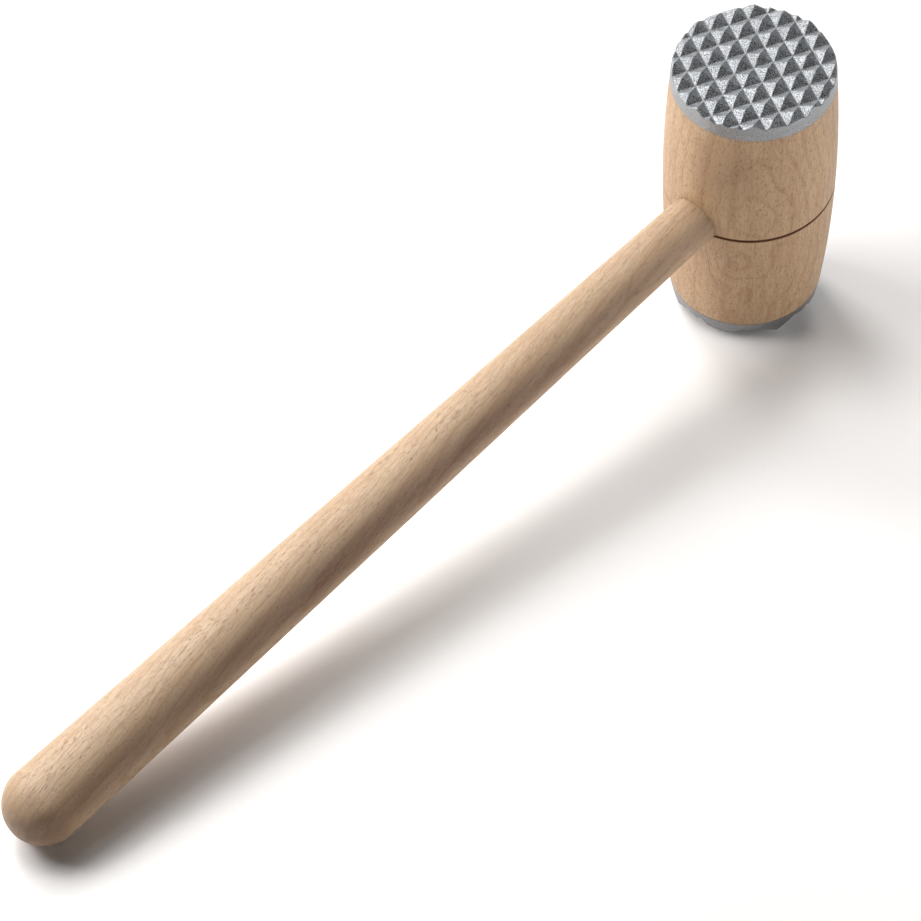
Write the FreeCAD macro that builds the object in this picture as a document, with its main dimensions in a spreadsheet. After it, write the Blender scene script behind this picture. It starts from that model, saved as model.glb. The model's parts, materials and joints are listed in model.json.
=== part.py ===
import FreeCAD, Part
import math
import os

import Sketcher
from FreeCAD import Placement, Rotation, Vector

# A beech meat mallet with a cast aluminium cap on each end of its head.
#
# The bench frame that the pieces are designed in: +Z is the head's axis, up through the
# fine face, z = 0 is the burnt groove round the head's middle, and the handle leaves
# towards -Y. The last step tips the whole mallet into the pose in which it lies on a
# table, resting on the handle side of its coarse face and on the butt of its handle,
# with the origin under the middle of its bounding box.

DRIVING_SIZES = {
    # head
    "waist_radius": 26.7,
    "end_radius": 24.7,
    "wood_top": 44.05,
    "wood_base": 45.15,
    "burn_width": 0.9,
    "burn_depth": 0.6,
    # handle
    "overall_length": 328.0,
    "handle_height": 2.3,
    "tenon_radius": 7.95,
    "grip_radius": 11.25,
    "kerf_depth": 24.0,
    "kerf_width": 0.9,
    "wedge_length": 20.0,
    "wedge_mouth": 2.8,
    # both caps
    "spigot_radius": 7.0,
    "spigot_root": 6.3,
    "spigot_length": 18.0,
    "socket_depth": 20.0,
    "barb_pitch": 5.0,
    "barb_ramp": 3.0,
    "barb_land": 1.0,
    "valley_flat": 0.3,
    # fine cap
    "fine_plate": 4.15,
    "fine_height": 1.85,
    "fine_rim": 24.2,
    "fine_pitch": 6.18,
    "fine_valleys": 9,
    "fine_turn": -26.8,
    "fine_land": 0.3,
    # coarse cap
    "coarse_plate": 2.9,
    "coarse_height": 6.9,
    "coarse_rim": 23.4,
    "coarse_pitch": 14.0,
    "coarse_valleys": 4,
    "coarse_turn": -22.0,
    "coarse_land": 0.5,
}
BARBS = 3
# how far a cutter or a blank reaches past the surface that it cuts or is cut to
OVERSHOOT = 2.0
# the cutter that trims the tenon: how far out it reaches, and its turn about the head's axis
TRIM_REACH = 10.0
TRIM_ANGLE = 120.0
# a cut that takes less than this, in cubic millimetres, has missed
SMALLEST_CUT = 1.0
NEARLY_ZERO = 1e-6
# the two coarse teeth that stand on the table, as columns and rows from the middle tooth
SUPPORT_TEETH = ((-1, 1), (0, 1))

doc = FreeCAD.newDocument("meat_mallet")


def make_sheet():
    """Put the driving dimensions in a spreadsheet, one named cell each."""
    sheet = doc.addObject("Spreadsheet::Sheet", "Sizes")
    for row, (name, value) in enumerate(DRIVING_SIZES.items(), start=1):
        sheet.set(f"A{row}", name)
        sheet.set(f"B{row}", str(value))
        sheet.setAlias(f"B{row}", name)
    doc.recompute()
    return sheet


sizes = make_sheet()


def origin_plane(body, role):
    """The body's own origin plane or axis with this role."""
    for feature in body.Origin.OriginFeatures:
        if feature.Role == role:
            return feature
    raise ValueError(role)


def new_sketch(body, name, plane, turn=None):
    """A sketch on one of the body's origin planes, turned about its own Y axis by an expression."""
    sketch = body.newObject("Sketcher::SketchObject", name)
    sketch.AttachmentSupport = [(origin_plane(body, plane), "")]
    sketch.MapMode = "FlatFace"
    if turn is not None:
        sketch.AttachmentOffset = Placement(Vector(), Rotation(Vector(0, 1, 0), 1.0))
        sketch.setExpression(".AttachmentOffset.Rotation.Angle", turn)
    doc.recompute()
    return sketch


def hold_point(sketch, geometry, end, across, up):
    """Tie a point to the sketch's origin by two expressions, or to an axis where one is 0."""
    for kind, axis, text in (("DistanceX", -2, across), ("DistanceY", -1, up)):
        value = float(sketch.evalExpression(text))
        if value == 0.0:
            sketch.addConstraint(Sketcher.Constraint("PointOnObject", geometry, end, axis))
            continue
        index = sketch.addConstraint(Sketcher.Constraint(kind, -1, 1, geometry, end, value))
        sketch.setExpression(f"Constraints[{index}]", text)


def outline(sketch, corners, bulges=None):
    """Close a loop through corners given as pairs of expressions.

    bulges maps the number of a side to a pair of expressions for a point that the side
    passes through, and that side is then an arc.
    """
    bulges = bulges or {}

    def place(pair):
        return Vector(*(float(sketch.evalExpression(text)) for text in pair), 0)

    sides = []
    for side, start in enumerate(corners):
        finish = corners[(side + 1) % len(corners)]
        if side in bulges:
            middle = place(bulges[side])
            arc = Part.Arc(place(start), middle, place(finish))
            number = sketch.addGeometry(arc)
            # an arc is stored counter-clockwise, so its first end may be this side's last
            first = sketch.getPoint(number, 1)
            flipped = first.distanceToPoint(place(start)) > NEARLY_ZERO
            sides.append((number, 2 if flipped else 1, 1 if flipped else 2))
            point = sketch.addGeometry(Part.Point(middle), True)
            hold_point(sketch, point, 1, *bulges[side])
            sketch.addConstraint(Sketcher.Constraint("PointOnObject", point, 1, number))
        else:
            number = sketch.addGeometry(Part.LineSegment(place(start), place(finish)))
            sides.append((number, 1, 2))
    for side, (number, first, last) in enumerate(sides):
        following, follow_first, _ = sides[(side + 1) % len(sides)]
        sketch.addConstraint(Sketcher.Constraint("Coincident", number, last, following, follow_first))
        hold_point(sketch, number, first, *corners[side])
    doc.recompute()


def cut_of(body, feature, what):
    """Recompute and make sure that a cutting feature took material away."""
    before = feature.BaseFeature.Shape.Volume
    doc.recompute()
    if not feature.Shape.Volume < before - SMALLEST_CUT:
        raise RuntimeError(f"{body.Label}: {what} cut nothing")


def turn_solid(body, sketch, axis):
    """Revolve a sketch all the way round one of its own axes."""
    solid = body.newObject("PartDesign::Revolution", f"{body.Name}_turned")
    solid.Profile = sketch
    solid.ReferenceAxis = (sketch, [axis])
    solid.Angle = 360
    doc.recompute()
    return solid


def turn_away(body, sketch, axis, what, angle=360):
    """Cut by revolving a sketch round one of its own axes, half of the angle each way."""
    cut = body.newObject("PartDesign::Groove", f"{body.Name}_{what}")
    cut.Profile = sketch
    cut.ReferenceAxis = (sketch, [axis])
    cut.Angle = angle
    cut.Midplane = angle < 360
    cut_of(body, cut, what)
    return cut


def cut_through(body, sketch, what):
    """Cut a sketch's outline right through the body, both ways."""
    cut = body.newObject("PartDesign::Pocket", f"{body.Name}_{what}")
    cut.Profile = sketch
    cut.Type = "ThroughAll"
    cut.SideType = "Symmetric"
    cut_of(body, cut, what)
    return cut


def make_head_barrel():
    """The beech head: a turned barrel with the grain along its axis."""
    body = doc.addObject("PartDesign::Body", "head_barrel")
    profile = new_sketch(body, "barrel_profile", "XZ_Plane")
    outline(
        profile,
        [
            ("0", "-Sizes.wood_base"),
            ("Sizes.end_radius", "-Sizes.wood_base"),
            ("Sizes.end_radius", "Sizes.wood_top"),
            ("0", "Sizes.wood_top"),
        ],
        bulges={1: ("Sizes.waist_radius", "0")},
    )
    turn_solid(body, profile, "V_Axis")

    burn = new_sketch(body, "burn_profile", "XZ_Plane")
    outline(
        burn,
        [
            ("Sizes.waist_radius - Sizes.burn_depth", "0"),
            ("Sizes.waist_radius + Sizes.burn_depth", "-Sizes.burn_width"),
            ("Sizes.waist_radius + Sizes.burn_depth", "Sizes.burn_width"),
        ],
    )
    turn_away(body, burn, "V_Axis", "burnt_groove")

    for end, face, inner in (
        ("top", "Sizes.wood_top", "Sizes.wood_top - Sizes.socket_depth"),
        ("base", "-Sizes.wood_base", "-Sizes.wood_base + Sizes.socket_depth"),
    ):
        socket = new_sketch(body, f"{end}_socket_profile", "XZ_Plane")
        outline(
            socket,
            [("0", inner), ("Sizes.spigot_radius", inner), ("Sizes.spigot_radius", face), ("0", face)],
        )
        turn_away(body, socket, "V_Axis", f"{end}_socket")

    mouth = new_sketch(body, "handle_hole_outline", "XZ_Plane")
    centre = Vector(0, float(sizes.handle_height), 0)
    circle = mouth.addGeometry(Part.Circle(centre, Vector(0, 0, 1), float(sizes.tenon_radius)))
    hold_point(mouth, circle, 3, "0", "Sizes.handle_height")
    radius = mouth.addConstraint(Sketcher.Constraint("Radius", circle, float(sizes.tenon_radius)))
    mouth.setExpression(f"Constraints[{radius}]", "Sizes.tenon_radius")
    doc.recompute()
    cut_through(body, mouth, "handle_hole")
    return body


def trim_to_barrel(body):
    """Sand the far end of the tenon flush with the barrel, in the handle's own frame."""
    trim = new_sketch(body, f"{body.Name}_trim_profile", "YZ_Plane")
    outer = f"Sizes.waist_radius + {TRIM_REACH}"
    top = "Sizes.wood_top - Sizes.handle_height"
    base = "-Sizes.wood_base - Sizes.handle_height"
    outline(
        trim,
        [("Sizes.end_radius", base), ("Sizes.end_radius", top), (outer, top), (outer, base)],
        bulges={0: ("Sizes.waist_radius", "-Sizes.handle_height")},
    )
    turn_away(body, trim, "V_Axis", "trim", angle=TRIM_ANGLE)


def make_handle():
    """The handle: a tenon right through the head, a long straight taper and a round butt.

    Its own frame is on its axis, which is the head's Y axis raised by handle_height.
    """
    body = doc.addObject("PartDesign::Body", "handle")
    profile = new_sketch(body, "handle_profile", "XY_Plane")
    butt_centre = "-(Sizes.overall_length - Sizes.waist_radius - Sizes.grip_radius)"
    outer = f"Sizes.waist_radius + {OVERSHOOT}"
    slant = math.sqrt(0.5)
    outline(
        profile,
        [
            ("0", outer),
            ("0", "-(Sizes.overall_length - Sizes.waist_radius)"),
            ("Sizes.grip_radius", butt_centre),
            ("Sizes.tenon_radius", "-Sizes.waist_radius"),
            ("Sizes.tenon_radius", outer),
        ],
        bulges={
            1: (f"{slant} * Sizes.grip_radius", f"{butt_centre} - {slant} * Sizes.grip_radius")
        },
    )
    turn_solid(body, profile, "V_Axis")
    trim_to_barrel(body)

    kerf = new_sketch(body, "kerf_outline", "YZ_Plane")
    inner = "Sizes.waist_radius - Sizes.kerf_depth"
    throat = "Sizes.waist_radius - Sizes.wedge_length"
    slit = "Sizes.kerf_width / 2"
    flare = wedge_half_thickness(outer)
    outline(
        kerf,
        [
            (inner, f"-{slit}"),
            (throat, f"-{slit}"),
            (outer, f"-({flare})"),
            (outer, flare),
            (throat, slit),
            (inner, slit),
        ],
    )
    cut_through(body, kerf, "kerf")
    return body


def wedge_half_thickness(along):
    """Half the wedge's thickness at a distance along +Y, as an expression."""
    slope = "(Sizes.wedge_mouth - Sizes.kerf_width) / 2 / Sizes.wedge_length"
    return f"Sizes.kerf_width / 2 + ({along} - Sizes.waist_radius + Sizes.wedge_length) * {slope}"


def make_handle_wedge():
    """The wedge that spreads the tenon, as wide as the tenon and flush with the head."""
    body = doc.addObject("PartDesign::Body", "handle_wedge")
    profile = new_sketch(body, "wedge_blank_profile", "XY_Plane")
    outer = f"Sizes.waist_radius + {OVERSHOOT}"
    inner = "Sizes.waist_radius - Sizes.wedge_length"
    outline(
        profile,
        [("0", inner), ("Sizes.tenon_radius", inner), ("Sizes.tenon_radius", outer), ("0", outer)],
    )
    turn_solid(body, profile, "V_Axis")
    trim_to_barrel(body)

    for side, sign in (("upper", ""), ("lower", "-")):
        waste = new_sketch(body, f"{side}_waste_outline", "YZ_Plane")
        outside = f"{sign}(Sizes.tenon_radius + {OVERSHOOT})"
        outline(
            waste,
            [
                (f"{inner} - {OVERSHOOT}", f"{sign}(Sizes.kerf_width / 2)"),
                (inner, f"{sign}(Sizes.kerf_width / 2)"),
                (outer, f"{sign}({wedge_half_thickness(outer)})"),
                (outer, outside),
                (f"{inner} - {OVERSHOOT}", outside),
            ],
        )
        cut_through(body, waste, f"{side}_waste")
    return body


def make_face_cap(name, face):
    """One cap: a plate with a toothed face, and a barbed spigot cast on its back.

    Its own frame has z = 0 on the joint with the wood and the teeth towards +Z. The teeth
    are what two sets of V grooves leave, cut at a right angle to each other.
    """
    body = doc.addObject("PartDesign::Body", name)
    valley = f"Sizes.{face}_plate"
    tip = f"Sizes.{face}_plate + Sizes.{face}_height"
    corners = [
        ("Sizes.end_radius", "0"),
        (f"Sizes.{face}_rim", tip),
        ("0", tip),
        ("0", "-Sizes.spigot_length"),
        ("Sizes.spigot_root", "-Sizes.spigot_length"),
    ]
    for barb in range(BARBS):
        foot = f"-Sizes.spigot_length + {barb + 1} * Sizes.barb_pitch - Sizes.barb_land"
        corners += [
            ("Sizes.spigot_root", f"{foot} - Sizes.barb_ramp"),
            ("Sizes.spigot_radius", foot),
            ("Sizes.spigot_radius", f"{foot} + Sizes.barb_land"),
            ("Sizes.spigot_root", f"{foot} + Sizes.barb_land"),
        ]
    corners.append(("Sizes.spigot_root", "0"))
    profile = new_sketch(body, f"{name}_profile", "XZ_Plane")
    outline(profile, corners)
    turn_solid(body, profile, "V_Axis")

    first = f"-(Sizes.{face}_valleys - 1) / 2 * Sizes.{face}_pitch"
    floor = "Sizes.valley_flat / 2"
    mouth = f"(Sizes.{face}_pitch - Sizes.{face}_land) / 2"
    above = f"{tip} + {OVERSHOOT}"
    for run, turn in (("first", f"Sizes.{face}_turn"), ("second", f"Sizes.{face}_turn + 90")):
        groove = new_sketch(body, f"{name}_{run}_groove", "XZ_Plane", turn=turn)
        outline(
            groove,
            [
                (f"{first} - {floor}", valley),
                (f"{first} + {floor}", valley),
                (f"{first} + {mouth}", tip),
                (f"{first} + {mouth}", above),
                (f"{first} - {mouth}", above),
                (f"{first} - {mouth}", tip),
            ],
        )
        cut = cut_through(body, groove, f"{run}_valley")
        row = body.newObject("PartDesign::LinearPattern", f"{name}_{run}_valleys")
        row.Originals = [cut]
        row.Direction = (groove, ["H_Axis"])
        row.setExpression("Length", f"(Sizes.{face}_valleys - 1) * Sizes.{face}_pitch")
        row.setExpression("Occurrences", f"Sizes.{face}_valleys")
        before = cut.Shape.Volume
        body.Tip = row
        doc.recompute()
        if not row.Shape.Volume < before - SMALLEST_CUT:
            raise RuntimeError(f"{name}: the {run} row of valleys cut nothing")
    return body


def coarse_tip(column, row):
    """The tip of one coarse tooth in the bench frame."""
    pitch = float(sizes.coarse_pitch)
    tip = float(sizes.coarse_plate) + float(sizes.coarse_height)
    turned = Rotation(Vector(0, 0, 1), float(sizes.coarse_turn))
    return under_base.multVec(turned.multVec(Vector(column * pitch, row * pitch, tip)))


def table_normal():
    """The upward normal of the table in the bench frame.

    The table passes through two coarse tips and touches the round butt, so the normal is
    at a right angle to the line between the tips, and the butt's centre is one grip
    radius above the table.
    """
    near, far = (coarse_tip(*tooth) for tooth in SUPPORT_TEETH)
    grip = float(sizes.grip_radius)
    butt_y = -(float(sizes.overall_length) - float(sizes.waist_radius) - grip)
    butt = Vector(0, butt_y, float(sizes.handle_height))
    line = (far - near).normalize()
    reach = butt - near - line * (butt - near).dot(line)
    share = grip / reach.Length
    away = reach.normalize()
    side = away.cross(line)
    if side.z < 0:
        side = -side
    return away * share + side * math.sqrt(1 - share**2)


def lay_down(bodies):
    """Tip the mallet into its pose on a table and put the origin under its middle."""
    up = table_normal()
    for column in range(-1, 2):
        for row in range(-1, 2):
            if up.dot(coarse_tip(column, row) - coarse_tip(*SUPPORT_TEETH[0])) < -NEARLY_ZERO:
                raise RuntimeError(f"tooth {column}, {row} would stand below the table")
    handle_end = Vector(0, -1, 0)
    forward = -(handle_end - up * handle_end.dot(up)).normalize()
    tipped = Placement(Vector(), Rotation(forward.cross(up), forward, up, "ZYX").inverted())
    for body, own in bodies:
        body.Placement = tipped * own
    doc.recompute()
    box = Part.Compound([body.Shape for body, _ in bodies]).optimalBoundingBox(False)
    shift = Placement(Vector(-box.Center.x, -box.Center.y, -box.ZMin), Rotation())
    for body, own in bodies:
        body.Placement = shift * tipped * own
    doc.recompute()
    print(f"table normal in the bench frame {up}, shift {shift.Base}")
    print(f"box {box.XLength:.2f} x {box.YLength:.2f} x {box.ZLength:.2f} mm")


def check_document():
    """Stop if any object failed, or a sub-part's shape is empty or invalid."""
    for item in doc.Objects:
        if "Invalid" in item.State or "Error" in item.State:
            raise RuntimeError(f"{item.Label} failed: {item.State}")
    for body in doc.findObjects("PartDesign::Body"):
        if body.Shape.isNull() or not body.Shape.isValid() or len(body.Shape.Solids) != 1:
            raise RuntimeError(f"{body.Label} is not one valid solid")


def write_parts():
    """Write each sub-part to a STEP file named after its label."""
    os.makedirs("parts", exist_ok=True)
    for body in doc.findObjects("PartDesign::Body"):
        body.Shape.exportStep(f"parts/{body.Label}.step")
        print(f"{body.Label}: {body.Shape.Volume / 1000:.2f} cm3")


upright = Rotation()
upside_down = Rotation(Vector(1, 0, 0), 180)
on_handle_axis = Placement(Vector(0, 0, float(sizes.handle_height)), upright)
on_top = Placement(Vector(0, 0, float(sizes.wood_top)), upright)
under_base = Placement(Vector(0, 0, -float(sizes.wood_base)), upside_down)

lay_down(
    [
        (make_head_barrel(), Placement()),
        (make_handle(), on_handle_axis),
        (make_handle_wedge(), on_handle_axis),
        (make_face_cap("fine_face_cap", "fine"), on_top),
        (make_face_cap("coarse_face_cap", "coarse"), under_base),
    ]
)
check_document()
write_parts()
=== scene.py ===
import json
import math

import bpy
import numpy as np
from mathutils import Matrix, Vector, noise


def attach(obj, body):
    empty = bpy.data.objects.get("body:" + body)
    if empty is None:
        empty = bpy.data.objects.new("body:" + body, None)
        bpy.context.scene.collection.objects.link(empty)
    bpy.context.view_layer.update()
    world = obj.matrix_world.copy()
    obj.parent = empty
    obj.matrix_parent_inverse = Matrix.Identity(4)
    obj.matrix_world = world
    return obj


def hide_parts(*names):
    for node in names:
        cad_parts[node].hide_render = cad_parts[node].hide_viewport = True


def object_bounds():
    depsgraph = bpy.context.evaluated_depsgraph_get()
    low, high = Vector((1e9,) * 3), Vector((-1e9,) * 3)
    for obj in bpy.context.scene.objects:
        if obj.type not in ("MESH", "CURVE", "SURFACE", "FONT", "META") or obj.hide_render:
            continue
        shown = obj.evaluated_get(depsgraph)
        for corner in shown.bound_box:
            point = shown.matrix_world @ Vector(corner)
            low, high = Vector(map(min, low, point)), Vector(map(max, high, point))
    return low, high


# The looks of a beech meat mallet with cast aluminium tooth caps, lying on a pale floor.
#
# Every piece but the wedge is drawn anew in the bench frame, in millimetres: the origin is on
# the head's axis at the burnt groove, +Z is up through the fine face, and the handle leaves
# towards -Y. The record's mounts say where that frame stands in the row frame, and the CAD
# nodes give the sizes that both models share. The wedge shows its CAD shape.

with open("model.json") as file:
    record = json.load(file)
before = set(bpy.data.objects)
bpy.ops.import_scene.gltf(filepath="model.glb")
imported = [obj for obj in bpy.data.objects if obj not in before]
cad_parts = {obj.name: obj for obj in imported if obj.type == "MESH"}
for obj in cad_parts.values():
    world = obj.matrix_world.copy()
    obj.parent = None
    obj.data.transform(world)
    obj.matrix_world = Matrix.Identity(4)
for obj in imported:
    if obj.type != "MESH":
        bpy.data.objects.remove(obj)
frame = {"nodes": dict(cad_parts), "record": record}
cad_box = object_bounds()

MM = 0.001

# ---------------------------------------------------------------- the bench frame

# the handle's axis above the groove, and how far the grip's mount is from the head's axis
HANDLE_HEIGHT = 2.3
GRIP_MOUNT_REACH = 200.0


def bench_frame():
    """The matrix that takes bench-frame points, in metres, to the row frame."""
    mounts = {mount["name"]: mount for mount in frame["record"]["mounts"]}
    up = Vector(mounts["fine_striking_face"]["axis"]).normalized()
    ahead = -Vector(mounts["hand_grip"]["axis"]).normalized()
    right = ahead.cross(up).normalized()
    ahead = up.cross(right)
    grip = Vector(mounts["hand_grip"]["pos_m"])
    origin = grip + ahead * (GRIP_MOUNT_REACH * MM) - up * (HANDLE_HEIGHT * MM)
    turn = Matrix((right, ahead, up)).transposed()
    return Matrix.Translation(origin) @ turn.to_4x4()


BENCH = bench_frame()


def bench_box(node):
    """Lowest and highest corner of a CAD node in the bench frame, in millimetres."""
    inverse = BENCH.inverted()
    points = np.array([inverse @ vertex.co for vertex in frame["nodes"][node].data.vertices])
    return points.min(0) / MM, points.max(0) / MM


barrel_low, barrel_high = bench_box("head_barrel")
handle_low, handle_high = bench_box("handle")
_, fine_high = bench_box("fine_face_cap")
coarse_low, _ = bench_box("coarse_face_cap")

# ---------------------------------------------------------------- sizes, in millimetres

WAIST_RADIUS = barrel_high[0]
END_RADIUS = 24.7
WOOD_TOP = barrel_high[2]
WOOD_BASE = -barrel_low[2]
BURN_HALF_WIDTH = 0.62
BURN_DEPTH = 0.6
END_EDGE = 0.3

BUTT_END = handle_low[1]
GRIP_RADIUS = handle_high[0]
TENON_RADIUS = 7.95
HOLE_CLEARANCE = 0.1
KERF_DEPTH = 24.0
KERF_HALF_WIDTH = 0.45
WEDGE_LENGTH = 20.0
WEDGE_HALF_MOUTH = 1.4

SPIGOT_RADIUS = 7.0
SPIGOT_ROOT = 6.3
SPIGOT_LENGTH = 18.0
SOCKET_DEPTH = 20.0
BARBS = 3
BARB_PITCH = 5.0
BARB_RAMP = 3.0
BARB_LAND = 1.0

# each tooth face: height above the wood, tooth height, rim radius at the tips, tooth pitch,
# turn of the grid about the face's own axis in degrees, how far in pitches the nearest tooth
# stands from the middle, flat tips, rounding of the casting, and mesh cells a pitch
FINE = {
    "tip": fine_high[2] - WOOD_TOP, "height": 1.85, "rim": 24.2, "pitch": 6.18,
    "turn": -26.8, "shift": 0.5, "land": 0.3, "rounding": 0.13, "cells": 34,
}
COARSE = {
    "tip": -coarse_low[2] - WOOD_BASE, "height": 6.9, "rim": 23.4, "pitch": 14.0,
    "turn": -22.0, "shift": 0.0, "land": 0.5, "rounding": 0.3, "cells": 76,
}
VALLEY_FLAT = 0.3
CAP_EDGE = 0.3

# the weights of the five samples each way that round the casting's ridges and valleys
ROUNDING_WEIGHTS = np.array([1, 4, 6, 4, 1]) / 16

# the casting's slight waviness: noise cells a millimetre, height, and the height above the
# wood at which it starts
WAVE_SCALE = 1.1
WAVE_HEIGHT = 0.02
WAVE_START = 0.5

# the middle and reach of the stretch of groove, left of the handle, where the burn is painted
# faint: partly an uneven burn, partly painted light where the lights shine into the groove
LIT_FAINT_GROOVE = (-15.6, -21.7, -1.5)
LIT_FAINT_GROOVE_REACH = 18.0

# how finely things are drawn: points a turn, then points or rings along a stretch, and the
# rounds of the search for where the teeth meet the rim
BARREL_TURN = 288
HANDLE_TURN = 192
DRILL_TURN = 120
GROOVE_POINTS = 29
SIDE_POINTS = 60
EDGE_POINTS = 6
BUTT_POINTS = 33
TAPER_POINTS = 140
TENON_POINTS = 12
TENON_END_RINGS = 14
RIM_WALL_POINTS = 9
RIM_ROUNDS = 6

# how far the finely drawn stretch reaches past the groove, the radius of an extra ring on
# each end of the barrel, and where the tenon's even rings end
GROOVE_MARGIN = 0.3
END_FACE_RING = 15.0
TENON_STRAIGHT_END = 20.0

# how far the drill and the saw reach past the wood
DRILL_OVERRUN = 10.0
SAW_OVERRUN = 2.0

# the sharpest edge, in degrees, that is still shaded smooth
SMOOTH_LIMIT = 42.0

# ---------------------------------------------------------------- meshes


def add_piece(name, points, faces, material, node):
    """A smooth mesh from bench-frame points, for one CAD node or, with none, for a cutter."""
    turn = np.array(BENCH.to_3x3())
    placed = np.asarray(points) * MM @ turn.T + np.array(BENCH.translation)
    mesh = bpy.data.meshes.new(name)
    mesh.from_pydata(placed.tolist(), [], faces)
    mesh.validate()
    mesh.materials.append(material)
    piece = bpy.data.objects.new(name, mesh)
    bpy.context.scene.collection.objects.link(piece)
    finish_surface(mesh)
    if node:
        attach(piece, "root")
        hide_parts(node)
    return piece


def finish_surface(mesh):
    """Shade smooth, but keep the sharper edges."""
    mesh.polygons.foreach_set("use_smooth", [True] * len(mesh.polygons))
    mesh.set_sharp_from_angle(angle=math.radians(SMOOTH_LIMIT))
    mesh.update()


def carve(piece, cutter):
    """Cut one mesh out of another for good, and remove the cutter."""
    cut = piece.modifiers.new("carve", "BOOLEAN")
    cut.operation = "DIFFERENCE"
    cut.solver = "EXACT"
    cut.object = cutter
    graph = bpy.context.evaluated_depsgraph_get()
    carved = bpy.data.meshes.new_from_object(piece.evaluated_get(graph), depsgraph=graph)
    piece.modifiers.remove(cut)
    piece.data = carved
    finish_surface(carved)
    bpy.data.objects.remove(cutter)


def ring_faces(rings, count):
    """Faces of a solid made of rings of count points, with one point at each end."""
    faces = []
    for ring in range(rings - 1):
        a = 1 + ring * count
        b = a + count
        for i in range(count):
            j = (i + 1) % count
            faces.append((a + i, a + j, b + j, b + i))
    faces += [(0, 1 + (i + 1) % count, 1 + i) for i in range(count)]
    last = 1 + (rings - 1) * count
    pole = last + count
    faces += [(last + i, last + (i + 1) % count, pole) for i in range(count)]
    return faces


def lathe(profile, count):
    """Points and faces of a profile of (radius, height) pairs turned round Z.

    The first and last pair are on the axis, and become one point each.
    """
    angles = np.arange(count) * (2 * math.pi / count)
    circle = np.stack([np.cos(angles), np.sin(angles)], 1)
    points = [(0, 0, profile[0][1])]
    for radius, height in profile[1:-1]:
        points += [(x, y, height) for x, y in circle * radius]
    points.append((0, 0, profile[-1][1]))
    return np.array(points), ring_faces(len(profile) - 2, count)


def barrel_radius(height):
    """Radius of the turned barrel: one arc through its waist and its two ends."""
    middle = (WOOD_TOP - WOOD_BASE) / 2
    rise = WOOD_TOP - middle
    bulge = WAIST_RADIUS - END_RADIUS
    centre = (WAIST_RADIUS**2 - END_RADIUS**2 + middle**2 - rise**2) / (2 * bulge)
    arc = math.hypot(END_RADIUS - centre, rise)
    return centre + np.sqrt(arc**2 - (height - middle) ** 2)


def make_barrel(material):
    """The beech head with its burnt groove, its two sockets and the hole for the handle."""
    low, high = -WOOD_BASE + END_EDGE, WOOD_TOP - END_EDGE
    near_burn = np.linspace(-1, 1, GROOVE_POINTS) * (BURN_HALF_WIDTH + GROOVE_MARGIN)
    below = np.linspace(low, near_burn[0], SIDE_POINTS, endpoint=False)
    above = np.linspace(near_burn[-1], high, SIDE_POINTS)[1:]
    heights = np.concatenate([below, near_burn, above])
    burn = 0.5 + 0.5 * np.cos(math.pi * np.clip(heights / BURN_HALF_WIDTH, -1, 1))
    side = list(zip(barrel_radius(heights) - BURN_DEPTH * burn, heights))

    def edge(height, outward):
        """A quarter-round edge, from the side to the end of the barrel."""
        steps = np.linspace(0, math.pi / 2, EDGE_POINTS)
        radius = barrel_radius(height - outward * END_EDGE) - END_EDGE
        return [
            (radius + END_EDGE * math.cos(t), height + outward * END_EDGE * (math.sin(t) - 1))
            for t in steps
        ]

    def socket(height, outward):
        """The blind bore in one end, from its floor on the axis to its mouth."""
        floor = height - outward * SOCKET_DEPTH
        return [(0, floor), (SPIGOT_RADIUS, floor), (SPIGOT_RADIUS, height)]

    profile = socket(-WOOD_BASE, -1)
    profile += [(END_FACE_RING, -WOOD_BASE)]
    profile += edge(-WOOD_BASE, -1)[::-1] + side[1:-1] + edge(WOOD_TOP, 1)
    profile += [(END_FACE_RING, WOOD_TOP)]
    profile += socket(WOOD_TOP, 1)[::-1]
    points, faces = lathe(profile, BARREL_TURN)
    barrel = add_piece("head_barrel_turned", points, faces, material, "head_barrel")

    reach = WAIST_RADIUS + DRILL_OVERRUN
    radius = TENON_RADIUS + HOLE_CLEARANCE
    outline = [(0, -reach), (radius, -reach), (radius, reach), (0, reach)]
    drill, faces = lathe(outline, DRILL_TURN)
    drill = np.stack([drill[:, 0], -drill[:, 2], drill[:, 1] + HANDLE_HEIGHT], 1)
    carve(barrel, add_piece("handle_drill", drill, faces, material, None))


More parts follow.
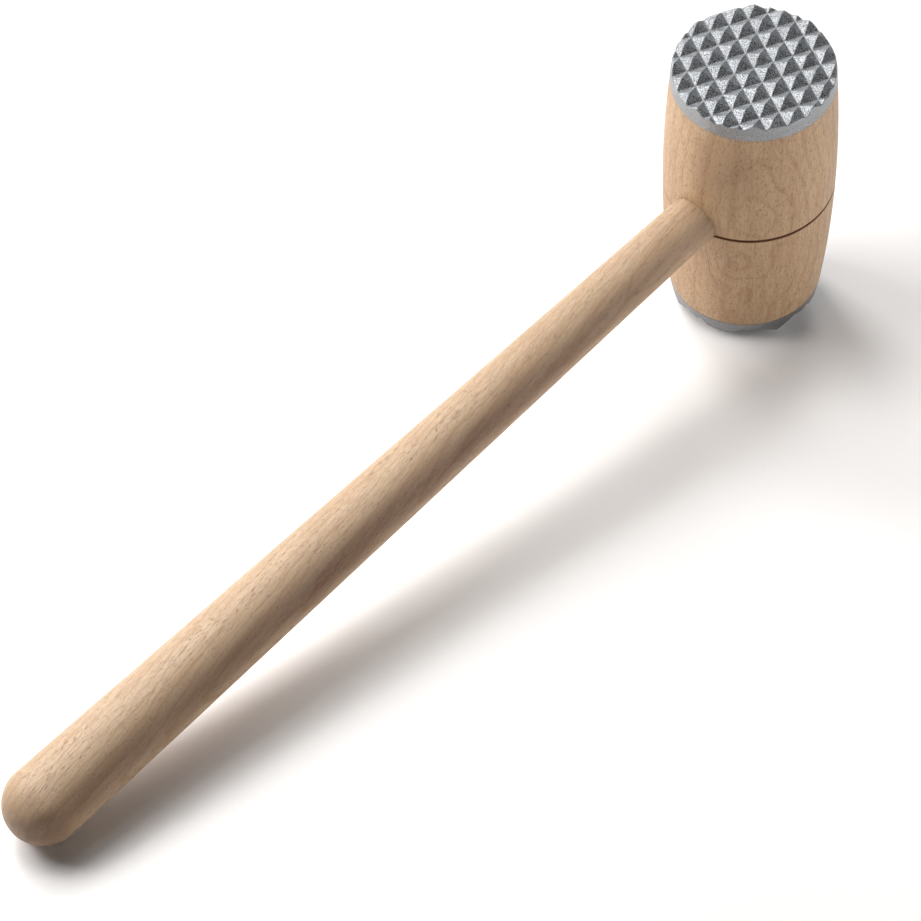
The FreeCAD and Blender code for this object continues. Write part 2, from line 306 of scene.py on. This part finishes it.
def make_handle(material):
    """The turned handle: round butt, long taper, and a split tenon flush with the barrel."""
    grip_centre = BUTT_END + GRIP_RADIUS
    dome = np.linspace(0, math.pi / 2, BUTT_POINTS)[1:]
    profile = [(0, BUTT_END)]
    profile += [(GRIP_RADIUS * math.sin(t), grip_centre - GRIP_RADIUS * math.cos(t)) for t in dome]
    taper = np.linspace(0, 1, TAPER_POINTS)[1:]
    shoulder = -WAIST_RADIUS
    for t in taper:
        radius = GRIP_RADIUS + (TENON_RADIUS - GRIP_RADIUS) * t
        profile.append((radius, grip_centre + (shoulder - grip_centre) * t))
    straight = np.linspace(shoulder, TENON_STRAIGHT_END, TENON_POINTS)[1:]
    profile += [(TENON_RADIUS, along) for along in straight]

    angles = np.arange(HANDLE_TURN) * (2 * math.pi / HANDLE_TURN)
    across = np.stack([np.cos(angles), np.sin(angles)], 1)
    points = [(0, BUTT_END, 0)]
    for radius, along in profile[1:]:
        points += [(radius * x, along, radius * z) for x, z in across]
    for radius in np.linspace(TENON_RADIUS, 0, TENON_END_RINGS, endpoint=False):
        for x, z in across * radius:
            points.append((x, math.sqrt(barrel_radius(z + HANDLE_HEIGHT) ** 2 - x**2), z))
    points.append((0, float(barrel_radius(HANDLE_HEIGHT)), 0))
    faces = ring_faces(len(profile) - 1 + TENON_END_RINGS, HANDLE_TURN)
    faces = [face[::-1] for face in faces]
    points = np.array(points) + (0, 0, HANDLE_HEIGHT)
    handle = add_piece("handle_turned", points, faces, material, "handle")

    inner = WAIST_RADIUS - KERF_DEPTH
    throat = WAIST_RADIUS - WEDGE_LENGTH
    mouth = WAIST_RADIUS + SAW_OVERRUN
    flare = KERF_HALF_WIDTH + (WEDGE_HALF_MOUTH - KERF_HALF_WIDTH) * (mouth - throat) / WEDGE_LENGTH
    upper = [(inner, KERF_HALF_WIDTH), (throat, KERF_HALF_WIDTH), (mouth, flare)]
    slot = [(along, -half) for along, half in upper] + upper[::-1]
    half_width = TENON_RADIUS + SAW_OVERRUN
    saw = []
    for x in (-half_width, half_width):
        saw += [(x, along, half + HANDLE_HEIGHT) for along, half in slot]
    sides = [(i, (i + 1) % 6, (i + 1) % 6 + 6, i + 6) for i in range(6)]
    faces = [tuple(range(5, -1, -1)), tuple(range(6, 12))] + sides
    carve(handle, add_piece("kerf_saw", saw, faces, material, None))


def tooth_height(x, y, face):
    """Height of the cast tooth grid above the wood at points in the face's own frame."""
    turn = math.radians(face["turn"])
    pitch = face["pitch"]
    valley = face["tip"] - face["height"]
    run = (pitch - face["land"] - VALLEY_FLAT) / 2
    total = np.zeros_like(x)
    steps = np.linspace(-1, 1, len(ROUNDING_WEIGHTS)) * face["rounding"]
    for step_x, weight_x in zip(steps, ROUNDING_WEIGHTS):
        for step_y, weight_y in zip(steps, ROUNDING_WEIGHTS):
            u = math.cos(turn) * x + math.sin(turn) * y + step_x
            v = -math.sin(turn) * x + math.cos(turn) * y + step_y
            rise = 1.0
            for along in (u, v):
                off = np.abs((along + pitch * face["shift"]) % pitch - pitch / 2)
                climb = np.clip((pitch / 2 - off - face["land"] / 2) / run, 0, 1)
                rise = np.minimum(rise, 1 - climb)
            total = total + weight_x * weight_y * (valley + face["height"] * rise)
    return total


def grid_faces(face, step, cell, number, u, v):
    """Triangles of the square cells, each split along the ridge or valley that crosses it."""
    pitch_u = (u[:-1, :-1] + step / 2) / face["pitch"] + face["shift"]
    pitch_v = (v[:-1, :-1] + step / 2) / face["pitch"] + face["shift"]
    rising = (pitch_u - np.round(pitch_u)) * (pitch_v - np.round(pitch_v)) > 0
    faces = []
    for i, j in np.argwhere(cell):
        a, b, c, d = number[i, j], number[i + 1, j], number[i + 1, j + 1], number[i, j + 1]
        if rising[i, j]:
            faces += [(a, b, c), (a, c, d)]
        else:
            faces += [(a, b, d), (b, c, d)]
    return faces


def grid_border(cell, number):
    """Numbers of the points on the border of the square cells, in order round the face."""
    after = {}
    for i, j in np.argwhere(cell):
        # each side of the cell: its first point, its second, and the cell across it
        sides = (
            ((i, j), (i + 1, j), (i, j - 1)),
            ((i + 1, j), (i + 1, j + 1), (i + 1, j)),
            ((i + 1, j + 1), (i, j + 1), (i, j + 1)),
            ((i, j + 1), (i, j), (i - 1, j)),
        )
        for first, second, (row, column) in sides:
            in_grid = 0 <= row < cell.shape[0] and 0 <= column < cell.shape[1]
            if not (in_grid and cell[row, column]):
                after[number[first]] = number[second]
    loop = [next(iter(after))]
    while after[loop[-1]] != loop[0]:
        loop.append(after[loop[-1]])
    return loop


def cap_rings(face, angle):
    """Rings of (radius, height) down from the teeth: rounded edge, rim wall, barbed spigot."""
    cone = (END_RADIUS - face["rim"]) / face["tip"]
    rim_radius = np.full_like(angle, face["rim"])
    for _ in range(RIM_ROUNDS):
        height = tooth_height(rim_radius * np.cos(angle), rim_radius * np.sin(angle), face)
        rim_radius = END_RADIUS - cone * height

    rings = []
    for t in np.linspace(0, math.pi / 2, EDGE_POINTS):
        radius = rim_radius - CAP_EDGE * (1 - math.sin(t))
        height = tooth_height(radius * np.cos(angle), radius * np.sin(angle), face)
        rings.append((radius, height - CAP_EDGE * (1 - math.cos(t))))
    top_height = rings[-1][1]
    for t in np.linspace(0, 1, RIM_WALL_POINTS)[1:]:
        height = top_height * (1 - t)
        rings.append((END_RADIUS - cone * height, height))

    spigot = [(SPIGOT_ROOT, 0)]
    for barb in range(BARBS - 1, -1, -1):
        wide = -SPIGOT_LENGTH + (barb + 1) * BARB_PITCH
        spigot += [(SPIGOT_ROOT, wide), (SPIGOT_RADIUS, wide), (SPIGOT_RADIUS, wide - BARB_LAND)]
        spigot.append((SPIGOT_ROOT, wide - BARB_LAND - BARB_RAMP))
    spigot.append((SPIGOT_ROOT, -SPIGOT_LENGTH))
    for radius, height in spigot:
        rings.append((np.full_like(angle, radius), np.full_like(angle, height)))
    return rings


def make_cap(name, face, sign, foot, material, node):
    """One cast cap: toothed face, rounded rim and barbed spigot.

    sign is 1 for the cap on top of the barrel and -1 for the one under it, and foot is
    the height of the joint with the wood in the bench frame.
    """
    step = face["pitch"] / face["cells"]
    reach = int(END_RADIUS / step) + 2
    turn = math.radians(face["turn"])
    axis = np.arange(-reach, reach + 1) * step
    u, v = np.meshgrid(axis, axis, indexing="ij")
    x = math.cos(turn) * u - math.sin(turn) * v
    y = math.sin(turn) * u + math.cos(turn) * v
    # the square cells stop a little more than half a cell short of the rounded edge
    inside = np.hypot(x, y) < face["rim"] - CAP_EDGE - 0.6 * step
    cell = inside[:-1, :-1] & inside[1:, :-1] & inside[:-1, 1:] & inside[1:, 1:]
    used = np.zeros_like(inside)
    for di in (0, 1):
        for dj in (0, 1):
            used[di:used.shape[0] - 1 + di, dj:used.shape[1] - 1 + dj] |= cell
    number = np.full(used.shape, -1)
    number[used] = np.arange(used.sum())
    points = [np.stack([x[used], y[used], tooth_height(x[used], y[used], face)], 1)]
    faces = grid_faces(face, step, cell, number, u, v)

    loop = grid_border(cell, number)
    angle = np.arctan2(points[0][loop][:, 1], points[0][loop][:, 0])
    rings = cap_rings(face, angle)
    for radius, height in rings:
        points.append(np.stack([radius * np.cos(angle), radius * np.sin(angle), height], 1))
    points.append(np.array([[0, 0, -SPIGOT_LENGTH]]))

    count = len(loop)
    first = int(used.sum())
    previous = loop
    for ring in range(len(rings)):
        current = list(range(first + ring * count, first + (ring + 1) * count))
        for i in range(count):
            j = (i + 1) % count
            faces.append((previous[j], previous[i], current[i], current[j]))
        previous = current
    pole = first + len(rings) * count
    faces += [(previous[(i + 1) % count], previous[i], pole) for i in range(count)]

    points = np.concatenate(points)
    wave = np.array([noise.noise(Vector(point) * WAVE_SCALE) for point in points])
    cast = points[:, 2] > WAVE_START
    points[cast, 2] += WAVE_HEIGHT * wave[cast]
    points = points * (1, sign, sign) + (0, 0, foot)
    add_piece(name, points, faces, material, node)


# ---------------------------------------------------------------- materials

# the wood in and round the burnt groove
SCORCH = (0.24, 0.10, 0.035, 1)
CHAR = (0.10, 0.022, 0.002, 1)

# the aluminium's dark and bright grit, its clouds and its pits
METAL_DARK = (0.06, 0.061, 0.063, 1)
METAL_BRIGHT = (0.57, 0.573, 0.575, 1)
METAL_CLOUD = (0.28, 0.285, 0.292, 1)
METAL_PIT = (0.07, 0.072, 0.075, 1)

# the rim's own grey, and the radii in millimetres between which it takes over from the teeth
METAL_RIM = (0.262, 0.268, 0.273, 1)
TEETH_END = 23.8
RIM_START = 24.15

# slow, middle and quick noise that wavers the growth rings: cells a millimetre across and
# along the grain, and how far it moves a ring in millimetres
RING_WAVERS = (((0.05, 0.05, 0.02), 7.0), ((0.16, 0.16, 0.07), 2.2), ((0.9, 0.9, 0.3), 0.7))

# the floor's colour and far glow, and how far from the origin, in metres, the glow starts
# and is full
FLOOR_COLOUR = (0.97, 0.93, 0.895, 1)
FLOOR_GLOW = 0.6
FLOOR_GLOW_START = 0.27
FLOOR_GLOW_FULL = 0.42


class Shader:
    """One node material, with short ways to add and link nodes."""

    def __init__(self, name):
        self.material = bpy.data.materials.new(name)
        self.material.use_nodes = True
        self.tree = self.material.node_tree
        self.surface = self.tree.nodes["Principled BSDF"]

    def add(self, kind, inputs, output=0, **settings):
        """Add a node, set or link its inputs, and return one of its outputs."""
        node = self.tree.nodes.new("ShaderNode" + kind)
        for key, value in settings.items():
            setattr(node, key, value)
        for key, value in inputs.items():
            self.give(node.inputs[key], value)
        return node.outputs[output]

    def give(self, socket, value):
        """Link a socket to another node's output, or set its value."""
        if isinstance(value, bpy.types.NodeSocket):
            self.tree.links.new(value, socket)
        else:
            socket.default_value = value

    def math(self, operation, a, b=0.0):
        return self.add("Math", {0: a, 1: b}, operation=operation)

    def ease(self, value, start, end, low=0.0, high=1.0):
        """Smooth change from low to high as value goes from start to end."""
        inputs = {"Value": value, "From Min": start, "From Max": end, "To Min": low, "To Max": high}
        return self.add("MapRange", inputs, interpolation_type="SMOOTHSTEP")

    def mix(self, share, a, b):
        """Blend two colours."""
        return self.add("Mix", {0: share, 6: a, 7: b}, output=2, data_type="RGBA")

    def scaled(self, vector, scale):
        return self.add("Mapping", {"Vector": vector, "Scale": scale})

    def noise(self, vector, scale, detail, roughness=0.5):
        inputs = {"Vector": vector, "Scale": scale, "Detail": detail, "Roughness": roughness}
        return self.add("TexNoise", inputs)

    def place(self, matrix):
        """Texture coordinates in a frame given by its matrix in metres, as millimetres."""
        where = self.add("TexCoord", {}, output="Object")
        location, turn, _ = matrix.decompose()
        inputs = {
            "Vector": where, "Location": location, "Rotation": turn.to_euler(), "Scale": (MM,) * 3,
        }
        return self.add("Mapping", inputs, vector_type="TEXTURE")

    def spot(self, place, centre, radii):
        """1 at a point, falling to 0 at the radii of an ellipsoid round it."""
        apart = self.add("VectorMath", {0: place, 1: centre}, operation="SUBTRACT")
        apart = self.add("VectorMath", {0: apart, 1: radii}, operation="DIVIDE")
        length = self.add("VectorMath", {0: apart}, operation="LENGTH", output="Value")
        return self.ease(length, 1.0, 0.0)

    def bump(self, height, distance, strength):
        return self.add("Bump", {"Height": height, "Distance": distance * MM, "Strength": strength})

    def set(self, **values):
        """Set or link the surface's own sockets, named with underscores for spaces."""
        for key, value in values.items():
            self.give(self.surface.inputs[key.replace("_", " ")], value)


def grain_frame(across, along, pivot):
    """A frame at a bench point whose Z runs along the grain and whose X is near a direction."""
    depth = Vector(along).normalized()
    width = Vector(across)
    width = (width - depth * width.dot(depth)).normalized()
    turn = Matrix((width, depth.cross(width), depth)).transposed().to_4x4()
    return BENCH @ Matrix.Translation(Vector(pivot) * MM) @ turn


def beech(
    name, grain, pith, pale, tan, fleck, dashes,
    ring_width=2.3, swells=(), stains_and_painted_shade=(), relief=0.06,
):
    """Sanded beech: growth rings round a pith, fibre streaks and short dark ray flecks.

    grain is the wood's own frame and pith a point (x, y) in it. Each of the dashes is
    (cells a millimetre across the grain, the same along it, share of the cells that hold a
    dash, its half width in cells, strength). Each swell is a (place, radii, rise) that the
    rings bulge round, and each of stains_and_painted_shade a (place, radii, colour,
    strength), in bench millimetres: real stains, some of which also paint in shade on the
    side away from the lights. relief is how deep the fibres lie, in millimetres.
    """
    wood = Shader(name)
    bench = wood.place(BENCH)
    fibres = wood.place(grain)
    cross = wood.add("SeparateXYZ", {0: fibres}).node.outputs

    # growth rings, wavered by noise
    off_x = wood.math("SUBTRACT", cross[0], pith[0])
    off_y = wood.math("SUBTRACT", cross[1], pith[1])
    square_x = wood.math("MULTIPLY", off_x, off_x)
    square_y = wood.math("MULTIPLY", off_y, off_y)
    distance = wood.math("SQRT", wood.math("ADD", square_x, square_y))
    for scale, waver in RING_WAVERS:
        wander = wood.noise(wood.scaled(fibres, scale), 1.0, 1.0)
        distance = wood.math("ADD", distance, wood.math("MULTIPLY", wander, waver))
    for centre, radii, rise in swells:
        swell = wood.math("MULTIPLY", wood.spot(bench, centre, radii), rise)
        distance = wood.math("ADD", distance, swell)
    phase = wood.math("FRACT", wood.math("DIVIDE", distance, ring_width))
    ring = wood.math("MULTIPLY", wood.ease(phase, 0.65, 0.93), wood.ease(phase, 1.0, 0.93))

    # tone along and across the fibres
    streak = wood.noise(wood.scaled(fibres, (0.3, 0.3, 0.015)), 1.0, 3.0)
    fibre = wood.noise(wood.scaled(fibres, (3.2, 3.2, 0.2)), 1.0, 3.0, 0.6)
    tone = wood.math("MULTIPLY", ring, 0.45)
    tone = wood.math("ADD", tone, wood.ease(streak, 0.35, 0.7, 0.0, 0.35))
    tone = wood.math("ADD", tone, wood.ease(fibre, 0.35, 0.65, 0.0, 0.5))
    colour = wood.mix(tone, pale, tan)
    # darkenings at given places: real stains, and patches that also paint in shade on the side away
    # from the lights
    for centre, radii, tint, strength in stains_and_painted_shade:
        stain_and_shade_share = wood.math("MULTIPLY", wood.spot(bench, centre, radii), strength)
        streaked = wood.ease(streak, 0.3, 0.65, 0.7, 1.0)
        patchy = wood.math("MULTIPLY", streaked, wood.ease(fibre, 0.6, 0.4, 0.65, 1.0))
        colour = wood.mix(wood.math("MULTIPLY", stain_and_shade_share, patchy), colour, tint)

    # ray flecks: short dashes along the grain
    sunk = wood.math("MULTIPLY", fibre, 0.5)
    for cells_across, cells_along, share, half_width, strength in dashes:
        net = wood.scaled(fibres, (cells_across, cells_across, cells_along))
        inputs = {"Vector": net, "Scale": 1.0, "Randomness": 1.0}
        cells = wood.add("TexVoronoi", inputs, output="Distance")
        lot = wood.add("SeparateColor", {0: cells.node.outputs["Color"]})
        chosen = wood.ease(lot, 1.0 - share, 1.08 - share)
        dash = wood.math("MULTIPLY", wood.ease(cells, half_width, half_width * 0.4), chosen)
        colour = wood.mix(wood.math("MULTIPLY", dash, strength), colour, fleck)
        sunk = wood.math("SUBTRACT", sunk, wood.math("MULTIPLY", dash, strength * 2.0))

    wood.set(
        Base_Color=colour,
        Roughness=wood.ease(fibre, 0.3, 0.7, 0.46, 0.58),
        Normal=wood.bump(sunk, relief, 0.9),
        Specular_IOR_Level=0.45,
    )
    return wood


def burn_groove(wood):
    """Brown the wood round the head's groove, and char its floor, but for one faint stretch that
    also paints the light falling into the groove.
    """
    bench = wood.place(BENCH)
    level = wood.math("ABSOLUTE", wood.add("SeparateXYZ", {0: bench}, output=2))
    # painted light: the burn is faded in one stretch left of the handle, where the lights shine
    # into the groove
    painted_light_patch = wood.spot(bench, LIT_FAINT_GROOVE, (LIT_FAINT_GROOVE_REACH,) * 3)
    burn_with_painted_light = wood.ease(painted_light_patch, 0.5, 0.15, 0.12, 1.0)
    plain = wood.surface.inputs["Base Color"].links[0].from_socket
    scorch = wood.math("MULTIPLY", wood.ease(level, 1.0, 0.5), wood.math("MULTIPLY", burn_with_painted_light, 0.4))
    char = wood.math("MULTIPLY", wood.ease(level, 0.68, 0.36), burn_with_painted_light)
    colour = wood.mix(scorch, plain, SCORCH)
    wood.set(Base_Color=wood.mix(char, colour, CHAR))


def cast_aluminium():
    """Tumbled cast aluminium: satin grey with a coarse sparkle and small dark pits."""
    metal = Shader("cast_aluminium")
    place = metal.place(BENCH)
    grit = metal.noise(place, 3.4, 2.0, 0.6)
    cloud = metal.noise(place, 0.35, 2.0)
    pit = metal.ease(metal.noise(place, 2.3, 2.0, 0.6), 0.44, 0.34)
    shade = metal.mix(metal.ease(grit, 0.40, 0.60), METAL_DARK, METAL_BRIGHT)
    shade = metal.mix(metal.ease(cloud, 0.3, 0.7, 0.0, 0.3), shade, METAL_CLOUD)
    shade = metal.mix(metal.math("MULTIPLY", pit, 0.6), shade, METAL_PIT)
    # the rim is tumbled smoother than the teeth
    sideways = metal.add("VectorMath", {0: place, 1: (1, 1, 0)}, operation="MULTIPLY")
    radius = metal.add("VectorMath", {0: sideways}, operation="LENGTH", output="Value")
    rim = metal.ease(radius, TEETH_END, RIM_START)
    shade = metal.mix(metal.math("MULTIPLY", rim, 0.65), shade, METAL_RIM)
    relief = metal.math("ADD", grit, metal.math("MULTIPLY", pit, -0.3))
    relief = metal.math("MULTIPLY", relief, metal.ease(radius, TEETH_END, RIM_START, 1.0, 0.3))
    metal.set(
        Base_Color=shade,
        Metallic=1.0,
        Roughness=metal.ease(grit, 0.3, 0.7, 0.34, 0.5),
        Normal=metal.bump(relief, 0.16, 0.9),
    )
    return metal.material


def pale_floor():
    """A matt white floor that glows far off, to stay pale, and is clear from below."""
    floor = Shader("pale_floor")
    place = floor.add("NewGeometry", {}, output="Position")
    away = floor.add("VectorMath", {0: place}, operation="LENGTH", output="Value")
    floor.set(
        Base_Color=FLOOR_COLOUR, Roughness=0.9, Specular_IOR_Level=0.1,
        Emission_Color=(1, 1, 1, 1),
        Emission_Strength=floor.ease(away, FLOOR_GLOW_START, FLOOR_GLOW_FULL, 0.0, FLOOR_GLOW),
    )
    clear = floor.add("BsdfTransparent", {})
    under = floor.add("NewGeometry", {}, output="Backfacing")
    both = floor.add("MixShader", {0: under, 1: floor.surface.outputs[0], 2: clear})
    floor.tree.links.new(both, floor.tree.nodes["Material Output"].inputs["Surface"])
    return floor.material


# ---------------------------------------------------------------- the mallet

head_wood = beech(
    "head_beech", grain_frame((1, 0, 0), (0, 0, 1), (0, 0, 0)), pith=(-27, 32),
    pale=(0.495, 0.328, 0.186, 1), tan=(0.365, 0.208, 0.104, 1), fleck=(0.13, 0.055, 0.022, 1),
    dashes=((2.4, 0.55, 0.6, 0.4, 0.5), (1.6, 0.36, 0.3, 0.27, 0.55)), relief=0.14,
    swells=(((18.1, -19.2, 10.0), (15, 15, 20), 3.4), ((15.5, -21.7, -12.0), (12, 12, 14), 4.0)),
    stains_and_painted_shade=(((9.0, -24.0, 30.0), (15.0, 11.0, 27.0), (0.235, 0.135, 0.072, 1), 0.75),),
)
burn_groove(head_wood)

# the handle's pin knots, the size and colour that they share, and its other dark marks: a grain
# streak and the butt's darkening, both partly painted shade on the side away from the lights, and a
# dark dash at the butt
PIN_KNOTS = (
    (-4.8, -150.0, 10.5), (-4.7, -154.0, 10.6), (-4.7, -156.5, 10.6), (-3.7, -161.0, 11.2),
    (0.1, -129.5, 11.5),
)
KNOT_RADII = (0.9, 1.5, 0.9)
KNOT_BROWN = (0.2, 0.085, 0.035, 1)
# a darker grain streak along the handle's side away from the lights, dark enough to paint in the
# shade there too
grain_streak_and_painted_shade = ((9.6, -165.0, 7.0), (8.0, 310.0, 7.5), (0.16, 0.06, 0.028, 1), 0.95)
# darker end grain round the butt, with painted shade on the butt's side away from the lights
butt_end_grain_and_painted_shade = ((8.0, -302.0, 0.0), (21.0, 19.0, 19.0), (0.15, 0.068, 0.036, 1), 1.0)
butt_dash = ((-7.0, -290.3, 10.5), (4.0, 1.1, 4.0), (0.34, 0.15, 0.08, 1), 0.6)
knots = [(place, KNOT_RADII, KNOT_BROWN, 0.75) for place in PIN_KNOTS]
handle_wood = beech(
    "handle_beech", grain_frame((1, 0, 0), (-0.145, 0.985, 0.075), (0, 0, HANDLE_HEIGHT)),
    pith=(14, -22),
    pale=(0.53, 0.37, 0.236, 1), tan=(0.40, 0.248, 0.136, 1), fleck=(0.075, 0.028, 0.012, 1),
    dashes=((2.6, 0.55, 0.6, 0.42, 0.24), (1.7, 0.32, 0.4, 0.3, 0.3)), relief=0.34,
    stains_and_painted_shade=[grain_streak_and_painted_shade, butt_end_grain_and_painted_shade] + knots + [butt_dash],
)
wedge_wood = beech(
    "wedge_wood", grain_frame((1, 0, 0), (0, 1, 0), (0, 0, HANDLE_HEIGHT)), pith=(6, 30),
    pale=(0.30, 0.165, 0.085, 1), tan=(0.20, 0.10, 0.05, 1), fleck=(0.10, 0.042, 0.017, 1),
    ring_width=1.6, dashes=((3.0, 0.5, 0.5, 0.34, 0.4),),
)
aluminium = cast_aluminium()

make_barrel(head_wood.material)
make_handle(handle_wood.material)
make_cap("fine_cap_cast", FINE, 1, WOOD_TOP, aluminium, "fine_face_cap")
make_cap("coarse_cap_cast", COARSE, -1, -WOOD_BASE, aluminium, "coarse_face_cap")

wedge = frame["nodes"]["handle_wedge"]
wedge.data.materials.clear()
wedge.data.materials.append(wedge_wood.material)

# ---------------------------------------------------------------- the studio

MIDDLE = (cad_box[0] + cad_box[1]) / 2
FLOOR_HALF = 8.0

# each soft box: azimuth and elevation in degrees, distance and side in metres, and watts.
# The places and watts come from a fit to the photo's shading, and are rounded.
SOFT_BOXES = {
    "key_front": (-45.0, 36.9, 0.442, 0.2, 1.300),
    "key_high": (-72.3, 60.6, 0.534, 0.2, 1.401),
    "key_low": (-72.3, 17.9, 0.276, 0.2, 0.315),
    "key_far": (-110.0, 50.0, 1.3, 0.42, 5.92),
    "overhead": (-90.0, 78.0, 1.3, 0.42, 1.92),
    "head_low": (-135.0, 13.5, 0.364, 0.2, 0.204),
    "back": (-150.0, 30.0, 1.3, 0.42, 4.02),
    "fill_low": (113.4, 7.8, 0.330, 0.25, 0.250),
    "fill_back": (139.4, 5.6, 0.463, 0.25, 0.401),
}
LIGHT_TINT = (0.975, 1.0, 1.025)
WORLD_STRENGTH = 0.02

# the photo's viewpoint, from a fit to its outlines: degrees, metres, and the lens and sensor
# in millimetres
CAMERA_AZIMUTH = 44.53
CAMERA_ELEVATION = 47.03
CAMERA_DISTANCE = 0.755
CAMERA_TARGET = Vector((-0.0156, 0.0212, cad_box[0].z))
CAMERA_LENS = 95.75
CAMERA_SENSOR = 36


def from_object(azimuth, elevation):
    """Unit vector away from the object: azimuth 0 is towards -Y and 90 towards +X, in degrees."""
    turn, rise = math.radians(azimuth), math.radians(elevation)
    across = math.cos(rise)
    return Vector((math.sin(turn) * across, -math.cos(turn) * across, math.sin(rise)))


def aim(thing, target):
    """Turn a camera or light towards a point."""
    thing.rotation_euler = (target - thing.location).to_track_quat("-Z", "Y").to_euler()


def add_light(name, azimuth, elevation, distance, side, watts):
    """A square soft box that faces the middle of the mallet."""
    data = bpy.data.lights.new(name, "AREA")
    data.size = side
    data.energy = watts
    data.color = LIGHT_TINT
    light = bpy.data.objects.new(name, data)
    light.location = MIDDLE + from_object(azimuth, elevation) * distance
    bpy.context.scene.collection.objects.link(light)
    aim(light, MIDDLE)


floor_mesh = bpy.data.meshes.new("floor")
corners = []
for x, y in ((-1, -1), (1, -1), (1, 1), (-1, 1)):
    corners.append((x * FLOOR_HALF, y * FLOOR_HALF, cad_box[0].z))
floor_mesh.from_pydata(corners, [], [(0, 1, 2, 3)])
floor_mesh.materials.append(pale_floor())
floor_object = bpy.data.objects.new("floor", floor_mesh)
bpy.context.scene.collection.objects.link(floor_object)

for name, (azimuth, elevation, distance, side, watts) in SOFT_BOXES.items():
    add_light(name, azimuth, elevation, distance, side, watts)

world = bpy.data.worlds.new("studio")
world.use_nodes = True
background = world.node_tree.nodes["Background"]
background.inputs["Color"].default_value = (1.0, 1.0, 1.0, 1)
background.inputs["Strength"].default_value = WORLD_STRENGTH
bpy.context.scene.world = world

lens = bpy.data.cameras.new("camera")
lens.lens = CAMERA_LENS
lens.sensor_width = CAMERA_SENSOR
camera = bpy.data.objects.new("camera", lens)
camera.location = CAMERA_TARGET + from_object(CAMERA_AZIMUTH, CAMERA_ELEVATION) * CAMERA_DISTANCE
bpy.context.scene.collection.objects.link(camera)
aim(camera, CAMERA_TARGET)
bpy.context.scene.camera = camera

bpy.context.scene.view_settings.view_transform = "Standard"

bpy.context.view_layer.update()
